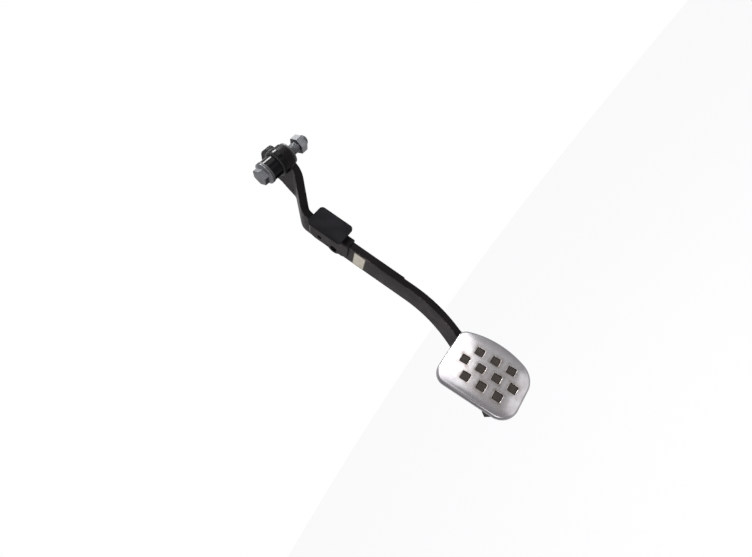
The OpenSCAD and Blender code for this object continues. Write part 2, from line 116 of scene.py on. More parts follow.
def dip_coat(name, base, dusty, bare, roughness, specular, dust):
    """Electrophoretic dip coat on steel: thin, even and satin, dusty, rubbed paler on its rims."""
    finish, tree, shader = new_finish(name, roughness, ior=1.5)
    shader.inputs["Specular IOR Level"].default_value = specular
    coords = add_node(tree, "ShaderNodeTexCoord")
    place = coords.outputs["Object"]
    cloud = add_node(tree, "ShaderNodeTexNoise",
                     {"Scale": per_mm(DUST_CLOUD), "Detail": 5.0, "Roughness": 0.6},
                     {"Vector": place})
    speck = add_node(tree, "ShaderNodeTexNoise",
                     {"Scale": per_mm(CHIP), "Detail": 4.0, "Roughness": 0.7}, {"Vector": place})
    patchy = add_node(tree, "ShaderNodeMapRange",
                      {"From Min": 0.35, "From Max": 0.7, "To Min": 0.35 * dust, "To Max": dust},
                      {"Value": cloud.outputs["Fac"]})
    # Painted light: the pale dusty tone goes on faces turned left, and the front stays dark
    facing = add_node(tree, "ShaderNodeSeparateXYZ", {}, {"Vector": coords.outputs["Normal"]})
    lit_left_side = add_node(tree, "ShaderNodeMapRange",
                      {"From Min": -0.15, "From Max": -0.8, "To Min": 0.1},
                      {"Value": facing.outputs["Y"]})
    dust_and_lit_side = add_node(tree, "ShaderNodeMath", {"operation": "MULTIPLY"},
                         {0: patchy.outputs["Result"], 1: lit_left_side.outputs["Result"]})
    coat = add_node(tree, "ShaderNodeMix",
                    {"data_type": "RGBA", 6: linear(base), 7: linear(dusty)},
                    {0: dust_and_lit_side.outputs["Value"]})
    # The coat is chipped in specks, and only on the rims and along some stretches of them
    rim = add_node(tree, "ShaderNodeAttribute", {"attribute_name": "rim"})
    chips = add_node(tree, "ShaderNodeMapRange",
                     {"From Min": 0.46, "From Max": 0.66, "To Max": 0.8},
                     {"Value": speck.outputs["Fac"]})
    stretches = add_node(tree, "ShaderNodeMapRange",
                         {"From Min": 0.44, "From Max": 0.58, "To Min": 0.1},
                         {"Value": cloud.outputs["Fac"]})
    rubbed = add_node(tree, "ShaderNodeMath", {"operation": "MULTIPLY"},
                      {0: chips.outputs["Result"], 1: stretches.outputs["Result"]})
    rim_mask = add_node(tree, "ShaderNodeMath", {"operation": "MULTIPLY"},
                        {0: rim.outputs["Fac"], 1: rubbed.outputs["Value"]})
    worn = add_node(tree, "ShaderNodeMix", {"data_type": "RGBA", 7: linear(bare)},
                    {0: rim_mask.outputs["Value"], 6: coat.outputs[2]})
    tree.links.new(worn.outputs[2], shader.inputs["Base Color"])
    rough = add_node(tree, "ShaderNodeMapRange",
                     {"From Min": 0.3, "From Max": 0.7,
                      "To Min": roughness - 0.07, "To Max": roughness + 0.1},
                     {"Value": speck.outputs["Fac"]})
    tree.links.new(rough.outputs["Result"], shader.inputs["Roughness"])
    peel = add_node(tree, "ShaderNodeTexNoise",
                    {"Scale": per_mm(PEEL), "Detail": 2.0}, {"Vector": place})
    skin = add_node(tree, "ShaderNodeBump", {"Strength": 0.25, "Distance": 0.05 * MM},
                    {"Height": peel.outputs["Fac"]})
    tree.links.new(skin.outputs["Normal"], shader.inputs["Normal"])
    return finish


def new_piece(name, work):
    """Turns finished mesh work into a piece in the scene."""
    mesh = bpy.data.meshes.new(name + ".shape")
    work.to_mesh(mesh)
    work.free()
    piece = bpy.data.objects.new(name, mesh)
    bpy.context.scene.collection.objects.link(piece)
    return piece


def shade_evenly(piece, keep_sharp):
    """Lets the large faces of a piece set its shading, so that they look flat up to their rims."""
    even = piece.modifiers.new("even faces", "WEIGHTED_NORMAL")
    even.keep_sharp = keep_sharp
    even.weight = 80


def softened(node, rim, past=28, cut=None):
    """A copy of a CAD node as a piece, with its sharp rims rounded to rim mm and marked for wear.

    A rim is sharp if its faces meet at more than past degrees. What lies beyond y = cut goes.
    """
    work = bmesh.new()
    work.from_mesh(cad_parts[node].data)
    mark = work.faces.layers.float.new("rim_face")
    shade = work.loops.layers.float_color.new("rim")
    bmesh.ops.remove_doubles(work, verts=work.verts, dist=SAME_SPOT * MM)
    if cut:
        bmesh.ops.bisect_plane(work, geom=work.verts[:] + work.edges[:] + work.faces[:],
                               plane_co=(0, cut * MM, 0), plane_no=(0, 1, 0), clear_outer=True)
    bmesh.ops.dissolve_limit(work, angle_limit=math.radians(SAME_PLANE),
                             verts=work.verts, edges=work.edges)
    sharp = [edge for edge in work.edges
             if len(edge.link_faces) == 2 and edge.calc_face_angle(0) > math.radians(past)]
    made = bmesh.ops.bevel(work, geom=sharp, offset=rim * MM, offset_type="OFFSET",
                           segments=RIM_STEPS, profile=0.5, affect="EDGES", clamp_overlap=False)
    for face in made["faces"]:
        face[mark] = 1.0
    for face in work.faces:
        face.smooth = True
        for loop in face.loops:
            loop[shade] = (face[mark], face[mark], face[mark], 1.0)
    piece = new_piece(node + ".piece", work)
    piece.data.set_sharp_from_angle(angle=math.radians(CREASE))
    shade_evenly(piece, keep_sharp=True)
    return piece


def place_piece(piece, finish, body, slot, *nodes):
    """Gives a piece its finish, its body, and the CAD nodes it stands for. Its slot is not used.
    """
    piece.data.materials.clear()
    piece.data.materials.append(finish)
    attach(piece, body)
    if nodes:
        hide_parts(*nodes)


arm_coat = dip_coat("black dip coat, satin", "#080607", "#453e3e", "#59544f",
                    roughness=0.40, specular=0.05, dust=0.62)
place_piece(softened("arm", rim=ARM_RIM), arm_coat, "pedal", "arm_paint", "arm")

# Hub. A drawn steel tube through the arm's head, with a turned collar against the arm's left
# face, welded on both sides. Its coat runs thicker and glossier than the arm's.
TUBE_R, TUBE_BORE_R, TUBE_LEFT, TUBE_RIGHT = 10.02, 8.02, -23.0, 5.4
COLLAR_R, COLLAR_LEFT, HEAD_FACE = 12.52, -10.05, ARM_THICK / 2
# CLEAR keeps two surfaces that touch apart. A round is TURN_STEPS flats, a bead RING_POINTS long
CLEAR, TURN_STEPS, RING_POINTS = 0.02, 112, 560
# A bead's section is a quarter round of BEAD_ARC steps. Between two ripples it sinks by
# RIPPLE_DIP of its leg, the ripples differ by UNEVEN, and it tapers over END_POINTS at an end
BEAD_ARC, RIPPLE_DIP, UNEVEN, END_SIZE, END_POINTS = 8, 0.14, 0.07, 0.35, 6
random.seed(7)


def skin_over(work, rows, looped=False, ringed=False):
    """Joins rows of points with smooth faces: looped closes the rows' row, ringed each row."""
    for low, high in zip(rows, rows[1:] + (rows[:1] if looped else [])):
        for k in range(len(low) if ringed else len(low) - 1):
            after = (k + 1) % len(low)
            work.faces.new((low[k], low[after], high[after], high[k])).smooth = True


def turned(name, section, round_to):
    """A piece turned round the pivot axis from a closed (y, r) section, corners rounded."""
    ring = []
    count = len(section)
    for i in range(count):
        here, before, after = (Vector(section[k % count]) for k in (i, i - 1, i + 1))
        reach = min(round_to, 0.45 * (before - here).length, 0.45 * (after - here).length)
        start = here + (before - here).normalized() * reach
        stop = here + (after - here).normalized() * reach
        ring += [start.lerp(here, t).lerp(here.lerp(stop, t), t) for t in (0, 0.25, 0.5, 0.75, 1)]
    work = bmesh.new()
    rows = []
    for j in range(TURN_STEPS):
        turn = 2 * math.pi * j / TURN_STEPS
        rows.append([work.verts.new((r * math.cos(turn) * MM, y * MM, r * math.sin(turn) * MM))
                     for y, r in ring])
    skin_over(work, rows, looped=True, ringed=True)
    bmesh.ops.recalc_face_normals(work, faces=work.faces)
    piece = new_piece(name, work)
    shade_evenly(piece, keep_sharp=False)
    return piece


def laid_bead(name, line, leg, pitch, closed=False):
    """A weld bead along a line of (point, out_a, out_b), with one ripple every pitch mm."""
    quarter = [t * math.pi / (2 * BEAD_ARC) for t in range(BEAD_ARC + 1)]
    section = [(0.0, 0.0)] + [(math.cos(t) ** 0.9, math.sin(t) ** 0.9) for t in quarter]
    work = bmesh.new()
    run, rows, swell = 0.0, [], {}
    for i, (point, out_a, out_b) in enumerate(line):
        if i:
            run += (point - line[i - 1][0]).length
        lap, phase = divmod(run / pitch, 1)
        ripple = math.sqrt(1 - (2 * phase - 1) ** 2 * 0.96)
        size = leg * (1 - RIPPLE_DIP + RIPPLE_DIP * ripple)
        size *= swell.setdefault(lap, random.uniform(1 - UNEVEN, 1.0))
        if not closed:
            from_end = min(i, len(line) - 1 - i) / END_POINTS
            size *= min(1.0, END_SIZE + (1 - END_SIZE) * math.sqrt(from_end))
        rows.append([work.verts.new((point + (out_a * a + out_b * b) * size) * MM)
                     for a, b in section])
    skin_over(work, rows, looped=closed, ringed=True)
    if not closed:
        work.faces.new(rows[0])
        work.faces.new(rows[-1])
    bmesh.ops.recalc_face_normals(work, faces=work.faces)
    return new_piece(name, work)


def round_line(y, r, side):
    """A circle round the pivot axis for a bead, its legs out along the face and along side."""
    line = []
    for i in range(RING_POINTS):
        turn = 2 * math.pi * i / RING_POINTS
        out = Vector((math.cos(turn), 0, math.sin(turn)))
        line.append((out * r + Vector((0, y, 0)), out, Vector((0, side, 0))))
    return line


hub_coat = dip_coat("black dip coat, thick and glossy", "#040406", "#2a2623", "#46423f",
                    roughness=0.13, specular=0.07, dust=0.25)
weld_coat = dip_coat("black dip coat over weld ripples", "#080709", "#332e2b", "#5c5753",
                     roughness=0.18, specular=0.16, dust=0.35)
tube = turned("pivot_tube.piece", [(TUBE_LEFT, TUBE_BORE_R), (TUBE_LEFT, TUBE_R),
                                   (TUBE_RIGHT, TUBE_R), (TUBE_RIGHT, TUBE_BORE_R)],
              round_to=0.4)
place_piece(tube, hub_coat, "pedal", "hub_paint", "pivot_tube")
collar = turned("hub_collar.piece", [(COLLAR_LEFT, TUBE_R + CLEAR), (COLLAR_LEFT, COLLAR_R),
                                     (-HEAD_FACE, COLLAR_R), (-HEAD_FACE, TUBE_R + CLEAR)],
                round_to=0.8)
place_piece(collar, hub_coat, "pedal", "hub_paint", "hub_collar")
for node, y, side, leg, pitch in (("hub_weld_left", COLLAR_LEFT, -1, 2.3, 1.9),
                                  ("hub_weld_right", HEAD_FACE, 1, 0.9, 1.2)):
    bead = laid_bead(node + ".piece", round_line(y, TUBE_R + CLEAR, side), leg, pitch, closed=True)
    place_piece(bead, weld_coat, "pedal", "weld_paint", node)

# Bushes. Two flanged bushes of black nylon, moulded and pressed into the tube's ends, where
# their flanges show as thin matt rings.
BUSH_R, BUSH_BORE_R, FLANGE_OUT, FLANGE_THICK, BARREL = 8.0, 6.5, 10.52, 2.0, 12.0
NYLON_GRAIN = 0.8


def moulded_nylon():
    """Glass-filled nylon from a mould: black, half matt, with a faint grain and scuffed paler."""
    finish, tree, shader = new_finish("black nylon, moulded", 0.48, ior=1.53)
    place = add_node(tree, "ShaderNodeTexCoord").outputs["Object"]
    grain = add_node(tree, "ShaderNodeTexNoise",
                     {"Scale": per_mm(NYLON_GRAIN), "Detail": 3.0}, {"Vector": place})
    scuff = add_node(tree, "ShaderNodeMix",
                     {"data_type": "RGBA", 6: linear("#121214"), 7: linear("#2c2b2d")},
                     {0: grain.outputs["Fac"]})
    tree.links.new(scuff.outputs[2], shader.inputs["Base Color"])
    skin = add_node(tree, "ShaderNodeBump", {"Strength": 0.3, "Distance": 0.03 * MM},
                    {"Height": grain.outputs["Fac"]})
    tree.links.new(skin.outputs["Normal"], shader.inputs["Normal"])
    return finish


nylon = moulded_nylon()
for node, end, into in (("left_bush", TUBE_LEFT, 1), ("right_bush", TUBE_RIGHT, -1)):
    face, tail = end - into * FLANGE_THICK, end + into * BARREL
    bush = turned(node + ".piece", [(face, BUSH_BORE_R), (face, FLANGE_OUT), (end, FLANGE_OUT),
                                    (end, BUSH_R), (tail, BUSH_R), (tail, BUSH_BORE_R)],
                  round_to=0.35)
    place_piece(bush, nylon, "pedal", "bush_nylon", node)

# Pivot hardware. A turned steel spacer sleeve, and a 10 mm bolt and nut of zinc-plated steel
# that clamp it. The bolt's thread is rolled, 1.5 mm from crest to crest.
SLEEVE_R, SLEEVE_BORE_R, SLEEVE_LEFT, SLEEVE_RIGHT = 6.45, 5.15, -25.15, 7.55
THREAD_START, BOLT_TIP, PITCH, CREST_R, ROOT_R = 9.0, 32.05, 1.5, 5.0, 4.15
TIP_R, TIP_CHAMFER, FLANK = 3.7, 1.3, 1.3
THREAD_AROUND, THREAD_ACROSS = 40, 6
TARNISH, FINE_GRAIN = 6, 0.7


def aged_metal(name, base, tarnish, roughness):
    """Zinc plate or turned steel: soft grey metal, clouded darker and duller where it has aged."""
    finish, tree, shader = new_finish(name, roughness, metallic=1.0)
    place = add_node(tree, "ShaderNodeTexCoord").outputs["Object"]
    cloud = add_node(tree, "ShaderNodeTexNoise",
                     {"Scale": per_mm(TARNISH), "Detail": 6.0, "Roughness": 0.65},
                     {"Vector": place})
    fine = add_node(tree, "ShaderNodeTexNoise",
                    {"Scale": per_mm(FINE_GRAIN), "Detail": 3.0}, {"Vector": place})
    mask = add_node(tree, "ShaderNodeMapRange",
                    {"From Min": 0.4, "From Max": 0.68, "To Max": 0.85},
                    {"Value": cloud.outputs["Fac"]})
    colour = add_node(tree, "ShaderNodeMix",
                      {"data_type": "RGBA", 6: linear(base), 7: linear(tarnish)},
                      {0: mask.outputs["Result"]})
    tree.links.new(colour.outputs[2], shader.inputs["Base Color"])
    rough = add_node(tree, "ShaderNodeMapRange",
                     {"To Min": roughness - 0.1, "To Max": roughness + 0.14},
                     {"Value": cloud.outputs["Fac"]})
    tree.links.new(rough.outputs["Result"], shader.inputs["Roughness"])
    skin = add_node(tree, "ShaderNodeBump", {"Strength": 0.15, "Distance": 0.01 * MM},
                    {"Height": fine.outputs["Fac"]})
    tree.links.new(skin.outputs["Normal"], shader.inputs["Normal"])
    return finish


def rolled_thread(name):
    """The bolt's thread as one long helix, faded in at its start and chamfered at the tip."""
    work = bmesh.new()
    turns = int((BOLT_TIP - THREAD_START) / PITCH) + 2
    rows = []
    for j in range(turns * THREAD_AROUND + 1):
        turn = 2 * math.pi * j / THREAD_AROUND
        row = []
        for k in range(THREAD_ACROSS + 1):
            y = THREAD_START + PITCH * (j / THREAD_AROUND + k / THREAD_ACROSS - 1)
            depth = (CREST_R - ROOT_R) * min(1.0, abs(2 * k / THREAD_ACROSS - 1) * FLANK)
            depth *= min(1.0, max(0.0, (y - THREAD_START) / PITCH))
            if y < BOLT_TIP:
                r = max(TIP_R, min(CREST_R - depth, CREST_R - TIP_CHAMFER + BOLT_TIP - y))
            else:
                r = TIP_R
            y = min(max(y, THREAD_START), BOLT_TIP)
            row.append(work.verts.new((r * math.cos(turn) * MM, y * MM, r * math.sin(turn) * MM)))
        rows.append(row)
    skin_over(work, rows)
    tip = []
    for j in range(THREAD_AROUND):
        turn, r = 2 * math.pi * j / THREAD_AROUND, TIP_R + CLEAR
        tip.append(work.verts.new((r * math.cos(turn) * MM, BOLT_TIP * MM,
                                   r * math.sin(turn) * MM)))
    work.faces.new(tip)
    bmesh.ops.remove_doubles(work, verts=work.verts, dist=1.5 * SAME_SPOT * MM)
    bmesh.ops.dissolve_degenerate(work, dist=SAME_SPOT * MM, edges=work.edges)
    bmesh.ops.recalc_face_normals(work, faces=work.faces)
    return new_piece(name, work)


zinc = aged_metal("zinc plate on steel, aged", "#76777a", "#5a5a5d", roughness=0.36)
# Painted shade: the bolt and its thread take a darker copy of the nut's zinc
shaded_zinc = aged_metal("zinc plate on steel, darker copy as painted shade", "#66676a", "#4c4c4f", roughness=0.36)
bright_steel = aged_metal("steel sleeve, turned", "#b4b4b8", "#8c8a8a", roughness=0.26)
sleeve = turned("inner_sleeve.piece",
                [(SLEEVE_LEFT, SLEEVE_BORE_R), (SLEEVE_LEFT, SLEEVE_R),
                 (SLEEVE_RIGHT, SLEEVE_R), (SLEEVE_RIGHT, SLEEVE_BORE_R)], round_to=0.25)
place_piece(sleeve, bright_steel, "pivot_hardware", "sleeve_steel", "inner_sleeve")
# The bolt is cut off just past the start of its thread, which is a piece of its own
bolt = softened("pivot_bolt", rim=0.35, cut=THREAD_START + 0.05)
place_piece(bolt, shaded_zinc, "pivot_hardware", "zinc_steel", "pivot_bolt")
place_piece(rolled_thread("bolt_thread"), shaded_zinc, "pivot_hardware", "zinc_steel")
place_piece(softened("hex_nut", rim=0.35), zinc, "pivot_hardware", "zinc_steel", "hex_nut")

# Switch bracket. A saddle folded from 2 mm sheet over the arm's front edge and coated with the
# arm. One weld holds it, along its left wing's upper edge and round the corner.
ARM_FRONT, LEFT_FACE, BRACKET_TOP = -27.0, -25.95, -52.5
WING_DEPTH, WING_CURVE, FOLD = 23.0, 7.0, 1.6
WELD_STEP, CORNER_STEP, CORNER_POINTS = 0.16, 1.6, 40
place_piece(softened("switch_bracket", rim=0.4), arm_coat, "pedal", "arm_paint",
            "switch_bracket")
off_face = Vector((0, -1, 0))
across_wing = []
for i in range(round((WING_DEPTH - WING_CURVE - FOLD) / WELD_STEP)):
    spot = Vector((ARM_FRONT - FOLD - i * WELD_STEP, LEFT_FACE, BRACKET_TOP + CLEAR))
    across_wing.append((spot, Vector((0, 0, 1)), off_face))
corner = Vector((ARM_FRONT - WING_DEPTH + WING_CURVE, LEFT_FACE, BRACKET_TOP - WING_CURVE))
for i in range(CORNER_POINTS):
    turn = math.radians(90 + CORNER_STEP * i)
    out = Vector((math.cos(turn), 0, math.sin(turn)))
    across_wing.append((corner + out * (WING_CURVE + CLEAR), out, off_face))
# Painted highlight: the bead's coat is pale grey, so the bead shows as a light line along the wing
bead_highlight_coat = dip_coat("black dip coat, painted pale on a bead as a highlight", "#2b2928", "#6d6862", "#98928a",
                       roughness=0.4, specular=0.3, dust=0.9)
place_piece(laid_bead("bracket_weld.piece", across_wing, leg=2.0, pitch=2.1), bead_highlight_coat,
            "pedal", "weld_paint", "bracket_weld")

# Striker plate. A block of black plastic that the stop lamp switch rests on, moulded with a
# neck that clips into the bracket. Its face is fine matt grain.
HANDLED = 14
# Spark-eroded grain is about 0.2 mm across, and it is drawn coarser so that it shows
MOULD_GRAIN = 0.6


def moulded_acetal():
    """Acetal from a textured mould: dead matt black, greyed by handling."""
    finish, tree, shader = new_finish("black acetal, grained mould", 0.62, ior=1.48)
    shader.inputs["Specular IOR Level"].default_value = 0.05
    place = add_node(tree, "ShaderNodeTexCoord").outputs["Object"]
    cloud = add_node(tree, "ShaderNodeTexNoise",
                     {"Scale": per_mm(HANDLED), "Detail": 4.0}, {"Vector": place})
    mask = add_node(tree, "ShaderNodeMapRange", {"From Min": 0.35, "From Max": 0.7},
                    {"Value": cloud.outputs["Fac"]})
    colour = add_node(tree, "ShaderNodeMix",
                      {"data_type": "RGBA", 6: linear("#0e0e10"), 7: linear("#19171a")},
                      {0: mask.outputs["Result"]})
    tree.links.new(colour.outputs[2], shader.inputs["Base Color"])
    grain = add_node(tree, "ShaderNodeTexVoronoi", {"Scale": per_mm(MOULD_GRAIN)},
                     {"Vector": place})
    skin = add_node(tree, "ShaderNodeBump", {"Strength": 0.35, "Distance": 0.04 * MM},
                    {"Height": grain.outputs["Distance"]})
    tree.links.new(skin.outputs["Normal"], shader.inputs["Normal"])
    return finish


place_piece(softened("striker_plate", rim=0.6), moulded_acetal(),
            "pedal", "striker_plastic", "striker_plate")

# Label. A small cream vinyl sticker on the arm's left face, left bare, with its corners
# rounded, its edges grubby and rolled down, and its film a little rippled over the coat.
LABEL_CORNER, LABEL_COLUMNS, LABEL_ROWS, EDGE_DOWN, CLEAN_SHARE = 1.2, 44, 26, 0.22, 0.8
YELLOWING, RIPPLE = 5, 0.002


def vinyl_film():
    """Printed vinyl film, unprinted here: half matt cream, yellowed unevenly and soiled."""
    finish, tree, shader = new_finish("cream vinyl film", 0.5, ior=1.52)
    place = add_node(tree, "ShaderNodeTexCoord").outputs["Object"]
    cloud = add_node(tree, "ShaderNodeTexNoise",
                     {"Scale": per_mm(YELLOWING), "Detail": 6.0, "Roughness": 0.62},
                     {"Vector": place})
    mask = add_node(tree, "ShaderNodeMapRange", {"From Min": 0.4, "From Max": 0.75},
                    {"Value": cloud.outputs["Fac"]})
    film = add_node(tree, "ShaderNodeMix",
                    {"data_type": "RGBA", 6: linear("#b9b3a1"), 7: linear("#9b937d")},
                    {0: mask.outputs["Result"]})
    rim = add_node(tree, "ShaderNodeAttribute", {"attribute_name": "rim"})
    soiled = add_node(tree, "ShaderNodeMix", {"data_type": "RGBA", 7: linear("#6f675b")},
                      {0: rim.outputs["Fac"], 6: film.outputs[2]})
    tree.links.new(soiled.outputs[2], shader.inputs["Base Color"])
    ripple = add_node(tree, "ShaderNodeBump", {"Strength": 0.3, "Distance": 0.06 * MM},
                      {"Height": cloud.outputs["Fac"]})
    tree.links.new(ripple.outputs["Normal"], shader.inputs["Normal"])
    return finish


def stuck_label(name):
    """The label as a fine grid with rounded corners, its outer row rolled down to the arm."""
    low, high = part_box("label")
    half_x, half_z = (high.x - low.x) / 2 / MM, (high.z - low.z) / 2 / MM
    work = bmesh.new()
    shade = work.verts.layers.float_color.new("rim")
    rows = []
    for j in range(LABEL_ROWS + 1):
        row = []
        for i in range(LABEL_COLUMNS + 1):
            u, w = 2 * i / LABEL_COLUMNS - 1, 2 * j / LABEL_ROWS - 1
            x, z = u * half_x, w * half_z
            over_x = max(0, abs(x) - half_x + LABEL_CORNER)
            over_z = max(0, abs(z) - half_z + LABEL_CORNER)
            reach = math.hypot(over_x, over_z)
            if reach > LABEL_CORNER:
                x -= math.copysign(over_x * (1 - LABEL_CORNER / reach), x)
                z -= math.copysign(over_z * (1 - LABEL_CORNER / reach), z)
            edge = max(abs(u), abs(w))
            down = EDGE_DOWN if edge >= 1 else 0.0
            down += RIPPLE * abs(math.sin(x * 0.9 + 1) * math.sin(z * 1.1))
            vert = work.verts.new(((low.x + high.x) / 2 + x * MM, low.y + (CLEAR + down) * MM,
                                   (low.z + high.z) / 2 + z * MM))
            grime = max(0.0, (edge - CLEAN_SHARE) / (1 - CLEAN_SHARE)) ** 2
            vert[shade] = (grime, grime, grime, 1.0)
            row.append(vert)
        rows.append(row)
    skin_over(work, rows)
    bmesh.ops.recalc_face_normals(work, faces=work.faces)
    return new_piece(name, work)


place_piece(stuck_label("label.piece"), vinyl_film(), "pedal", "label_vinyl", "label")

# Foot plate. A steel plate welded square across the arm's toe, with a bead down each side,
# coated with the arm. The rubber is stretched over it.
PAD_TILT, PAD_ROLL, PAD_REACH, PAD_DROP, PAD_OFFSET = 17.0, -3.0, -4.3, 267.6, 7.8
SWEEP_START, SWEEP_R, STRAIGHT_Y, FOOT_BACK = 174.0, 160.0, -21.7, 11.9
TOE_POINTS = 260


def swept_y(z):
    """Sideways place of the arm's middle line at height z."""
    if z > -SWEEP_START:
        return STRAIGHT_Y
    return STRAIGHT_Y - SWEEP_R * (1 - math.sqrt(1 - ((-z - SWEEP_START) / SWEEP_R) ** 2))


# on_pad carries a point of the pad's own frame, x down its face, y to its right and z out of
# it, to its place on the pedal
on_pad = (Matrix.Translation((PAD_REACH, swept_y(-PAD_DROP) - PAD_OFFSET, -PAD_DROP))
          @ Matrix.Rotation(math.radians(90 - PAD_TILT), 4, "Y")
          @ Matrix.Rotation(math.radians(PAD_ROLL), 4, "Z"))
off_pad = on_pad.inverted()
pad_out = on_pad.to_3x3() @ Vector((0, 0, 1))
place_piece(softened("foot_plate", rim=0.5), arm_coat, "pedal", "arm_paint", "foot_plate")
for node, side, half in (("toe_weld_left", -1, ARM_THICK / 2),
                         ("toe_weld_right", 1, TOE_THICK - ARM_THICK / 2)):
    low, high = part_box(node)
    line = []
    for i in range(TOE_POINTS):
        z = (high.z + (low.z - high.z) * i / (TOE_POINTS - 1)) / MM
        lean = math.asin(min(1.0, (-z - SWEEP_START) / SWEEP_R))
        out = Vector((0, side * math.cos(lean), -side * math.sin(lean)))
        spot = Vector((0, swept_y(z), z)) + out * half
        # The bead follows the corner between the arm's face and the back of the foot plate
        spot.x = (-FOOT_BACK - (off_pad @ spot).z) / (off_pad.to_3x3() @ Vector((1, 0, 0))).z
        line.append((spot, out, -pad_out))
    place_piece(laid_bead(node + ".piece", line, leg=1.9, pitch=2.3), weld_coat,
                "pedal", "weld_paint", node)

# Rubber pad. Moulded rubber that is stretched over the foot plate: a thick face with ten low
# studs that fill the cover's holes, and a lip behind the plate.
RUBBED_DUST, RUBBER_GRAIN = 4, 0.9


def moulded_rubber():
    """Carbon-filled rubber, moulded: brown-black, matt, with dust rubbed into its grain."""
    finish, tree, shader = new_finish("brown-black rubber, moulded", 0.72, ior=1.52)
    shader.inputs["Specular IOR Level"].default_value = 0.3
    place = add_node(tree, "ShaderNodeTexCoord").outputs["Object"]
    cloud = add_node(tree, "ShaderNodeTexNoise",
                     {"Scale": per_mm(RUBBED_DUST), "Detail": 6.0, "Roughness": 0.7},
                     {"Vector": place})
    mask = add_node(tree, "ShaderNodeMapRange", {"From Min": 0.35, "From Max": 0.75},
                    {"Value": cloud.outputs["Fac"]})
    colour = add_node(tree, "ShaderNodeMix",
                      {"data_type": "RGBA", 6: linear("#181311"), 7: linear("#30271f")},
                      {0: mask.outputs["Result"]})
    tree.links.new(colour.outputs[2], shader.inputs["Base Color"])
    grain = add_node(tree, "ShaderNodeTexNoise",
                     {"Scale": per_mm(RUBBER_GRAIN), "Detail": 4.0}, {"Vector": place})
    skin = add_node(tree, "ShaderNodeBump", {"Strength": 0.5, "Distance": 0.08 * MM},
                    {"Height": grain.outputs["Fac"]})
    tree.links.new(skin.outputs["Normal"], shader.inputs["Normal"])
    return finish


place_piece(softened("rubber_pad", rim=0.4, past=35), moulded_rubber(),
            "pedal", "pad_rubber", "rubber_pad")

# Cover. Aluminium sheet, 1.4 mm thick, pressed to a low crown with a rolled rim and pierced
# with ten square holes. Shoes have polished its satin finish and left fine scratches.
PAD_L, PAD_W, EDGE_R, EDGE_BOW = 75.5, 58.3, 78.0, 1.6
UPPER_LEFT_R, LOWER_LEFT_R, UPPER_RIGHT_R, LOWER_RIGHT_R = 12.0, 16.0, 9.5, 20.5
CROWN_DROP, RIM_ROLL, RIM_DEPTH, SHEET = 2.0, 3.0, 8.0, 1.4
HOLE_W, HOLE_R, HOLE_PITCH, ROW_PITCH = 7.6, 1.0, 15.4, 13.4
HOLE_ROWS, HOLE_MID = ((3, 1), (4, 0), (3, -1)), Vector((2.7, 0.2))
# The press draws the face down by SHOULDER_FALL over its last SHOULDER_W, and the rim stands
# TUCK inside the outline
SHOULDER_FALL, SHOULDER_W, TUCK = 0.7, 9.0, 0.03
# Width of the painted shade on the face's margin at the pad's two ends and at its two sides,
# how much darker its left side is painted, and reach of the dirt round a hole
END_SHADE_WIDTH, SIDE_SHADE_WIDTH, LEFT_SHADE_GAIN, DIRT_REACH = 1.0, 11.0, 1.3, 4.6
# Rows of points inside the roll, (let out, drawn in) rows round each hole, and the points
# between them, with the gap that they keep from the roll and from a hole. A face of less than
# THIN_FACE, twice its area in square mm, is left out
FACE_ROWS = (0, 0.8, 2.0)
HOLE_LIPS = ((0.0, 0.28), (0.12, 0.12), (0.32, 0.02), (0.8, 0.0))
SPOT_PITCH, SPOT_ROW, ROLL_GAP, HOLE_GAP, THIN_FACE = 1.9, 1.75, 3.2, 1.5, 0.002
# Angles of the roll's rows, and a row just under it that keeps its shading off the flat rim
ROLL_ANGLES, UNDER_ROLL = (11, 22, 34, 46, 58, 70, 80, 90), 1.3
# Spacing of the clouds, the spots of dirt and the scuffs, and a scuff's length
HAZE, DIRT_SPOT, SCUFF_APART, SCUFF_LENGTH = 16, 5, 0.35, 20


def bend(middle, r, start, stop, steps):
    """Points on an arc, its angles in degrees."""
    turns = [math.radians(start + (stop - start) * i / steps) for i in range(steps + 1)]
    return [middle + r * Vector((math.cos(turn), math.sin(turn))) for turn in turns]


def cover_outline(inset):
    """The cover's outline in its own plane, x down the pad and y to the right, drawn in by inset.

    The left edge and the two ends are straight, and the right edge is a long arc.
    """
    upper_left = Vector((UPPER_LEFT_R - PAD_L / 2, UPPER_LEFT_R - PAD_W / 2))
    lower_left = Vector((PAD_L / 2 - LOWER_LEFT_R, LOWER_LEFT_R - PAD_W / 2))
    upper_right = Vector((UPPER_RIGHT_R - PAD_L / 2, PAD_W / 2 - UPPER_RIGHT_R - EDGE_BOW))
    lower_right = Vector((PAD_L / 2 - LOWER_RIGHT_R, PAD_W / 2 - LOWER_RIGHT_R - EDGE_BOW))
    # The long arc runs on smoothly from both right corners, which fixes its middle
    span = lower_right - upper_right
    a, b, d = EDGE_R - UPPER_RIGHT_R, EDGE_R - LOWER_RIGHT_R, span.length
    along = (a * a - b * b + d * d) / (2 * d)
    across = Vector((-span.y, span.x)) / d
    middle = upper_right + span * along / d - across * math.sqrt(a * a - along * along)
    low_angle = math.degrees(math.atan2(*(lower_right - middle).yx))
    top_angle = math.degrees(math.atan2(*(upper_right - middle).yx))
    arcs = [bend(upper_left, UPPER_LEFT_R - inset, 180, 270, 18),
            bend(lower_left, LOWER_LEFT_R - inset, 270, 360, 22),
            bend(lower_right, LOWER_RIGHT_R - inset, 0, low_angle, 22)
            + bend(middle, EDGE_R - inset, low_angle, top_angle, 30)[1:-1]
            + bend(upper_right, UPPER_RIGHT_R - inset, top_angle, 180, 14)]
    line = []
    for arc, after, parts in zip(arcs, arcs[1:] + arcs[:1], (20, 10, 15)):
        line += arc + [arc[-1].lerp(after[0], k / parts) for k in range(1, parts)]
    return line


face_outline = cover_outline(RIM_ROLL)
holes = [HOLE_MID + Vector(((i - (count - 1) / 2) * HOLE_PITCH, row * ROW_PITCH))
         for count, row in HOLE_ROWS for i in range(count)]


